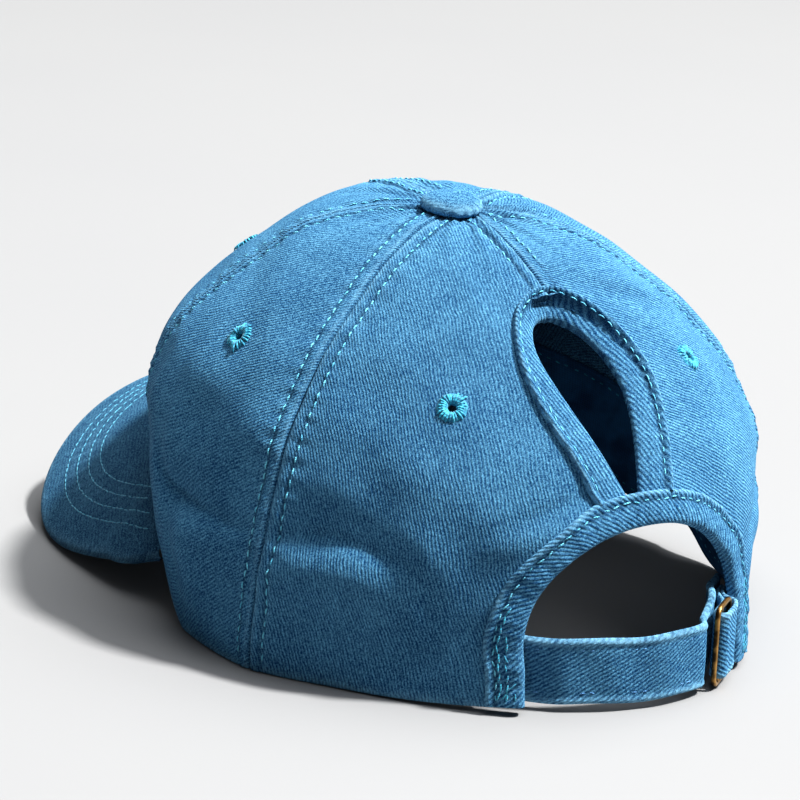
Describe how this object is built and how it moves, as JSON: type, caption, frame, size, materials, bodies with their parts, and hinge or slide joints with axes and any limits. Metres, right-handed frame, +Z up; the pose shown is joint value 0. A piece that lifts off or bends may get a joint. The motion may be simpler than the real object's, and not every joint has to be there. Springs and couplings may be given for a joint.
{
  "type": "ball cap",
  "caption": "Soft twill ball cap with a curved visor, a top button, a bound arch at the back closed by a cloth strap and slide buckle, and a bound ponytail opening above it.",
  "frame": {"origin": "middle of the outline, at the height of the surface the cap rests on", "axes": "+Z up, -Y towards the tip of the visor, +X towards the wearer's left"},
  "size_m": [0.1693, 0.2302, 0.1134],
  "materials": {
    "twill": "washed cotton twill, faded at seams and edges",
    "sweatband": "matte cotton lining",
    "thread": "satin embroidery thread",
    "buckle": "darkened antique brass"
  },
  "bodies": {
    "root": {"panel_front_left": "twill", "panel_side_left": "twill", "panel_back_left": "twill", "panel_front_right": "twill", "panel_side_right": "twill", "panel_back_right": "twill", "visor": "twill", "arch_binding": "twill", "ponytail_binding": "twill", "strap": "twill", "strap_keeper": "twill", "button": "twill", "sweatband": "sweatband", "eyelet_front_left": "thread", "eyelet_side_left": "thread", "eyelet_back_left": "thread", "eyelet_back_right": "thread", "eyelet_side_right": "thread", "eyelet_front_right": "thread", "buckle": "buckle"}
  },
  "joints": []
}
